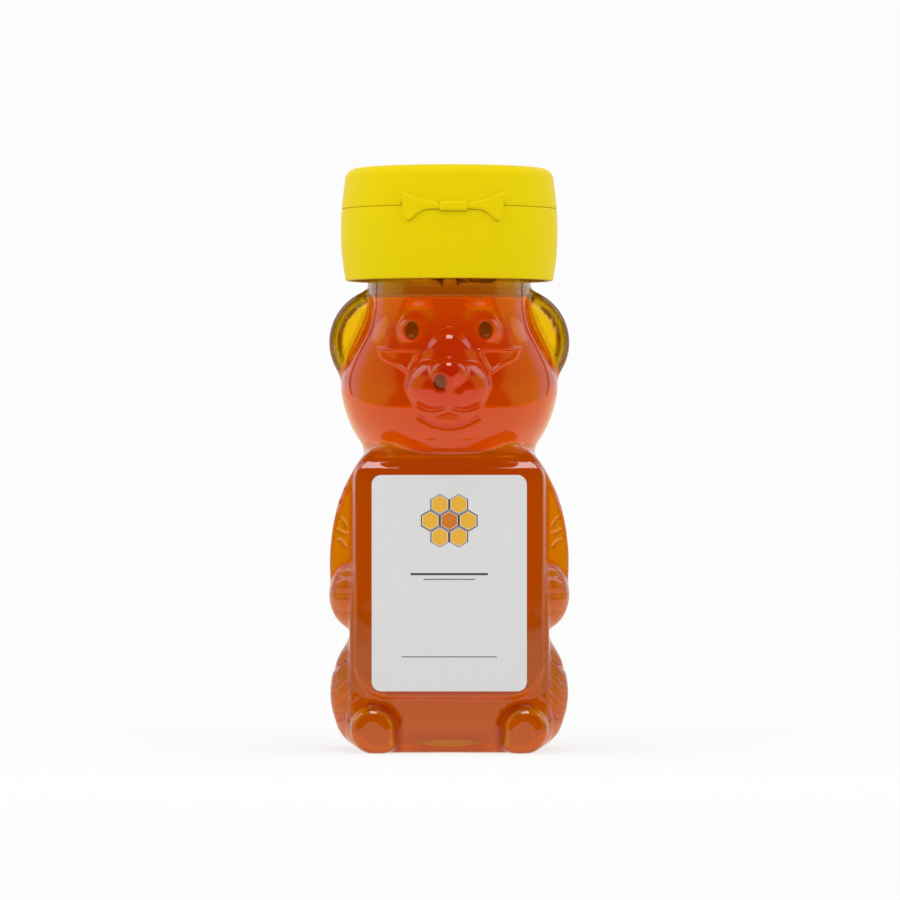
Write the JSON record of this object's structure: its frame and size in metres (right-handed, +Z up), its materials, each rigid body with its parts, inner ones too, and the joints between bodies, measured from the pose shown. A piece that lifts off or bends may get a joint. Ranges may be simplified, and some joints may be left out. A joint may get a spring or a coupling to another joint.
{
  "type": "honey bear squeeze bottle",
  "caption": "Bear-shaped clear squeeze bottle filled with honey, with a screw cap whose flip lid has a bow-shaped thumb tab and a plug that closes the spout.",
  "frame": {"origin": "on the surface that the bottle stands on, under the axis of its neck", "axes": "+Z up along the neck's axis, -Y the way the bear faces, +X to the right as the front is seen"},
  "size_m": [0.0574, 0.0568, 0.137],
  "materials": {
    "clear_plastic": "gloss",
    "honey": "gloss",
    "label_paper": "satin",
    "liner_foam": "matte",
    "yellow_plastic": "satin"
  },
  "bodies": {
    "bottle": {"bottle_shell": "clear_plastic", "honey_fill": "honey", "front_label": "label_paper"},
    "liner": {"seal_liner": "liner_foam"},
    "cap": {"cap_base": "yellow_plastic", "living_hinge": "yellow_plastic"},
    "lid": {"flip_lid": "yellow_plastic"}
  },
  "joints": [
    {"name": "cap_rise", "type": "slide", "parent": "bottle", "child": "liner", "axis": [0, 0, 1], "range_m": [0, 0.01275]},
    {"name": "cap_turn", "type": "hinge", "parent": "liner", "child": "cap", "pos_m": [0, 0, 0.1228], "axis": [0, 0, 1], "range_deg": [0, 1080]},
    {"name": "lid_flip", "type": "hinge", "parent": "cap", "child": "lid", "pos_m": [0, 0.0251, 0.1271], "axis": [-1, 0, 0], "range_deg": [0, 130], "deforming": ["living_hinge"]}
  ],
  "couplings": [
    {"joint": "cap_rise", "follows": "cap_turn", "m_per_rad": 0.0006737}
  ]
}
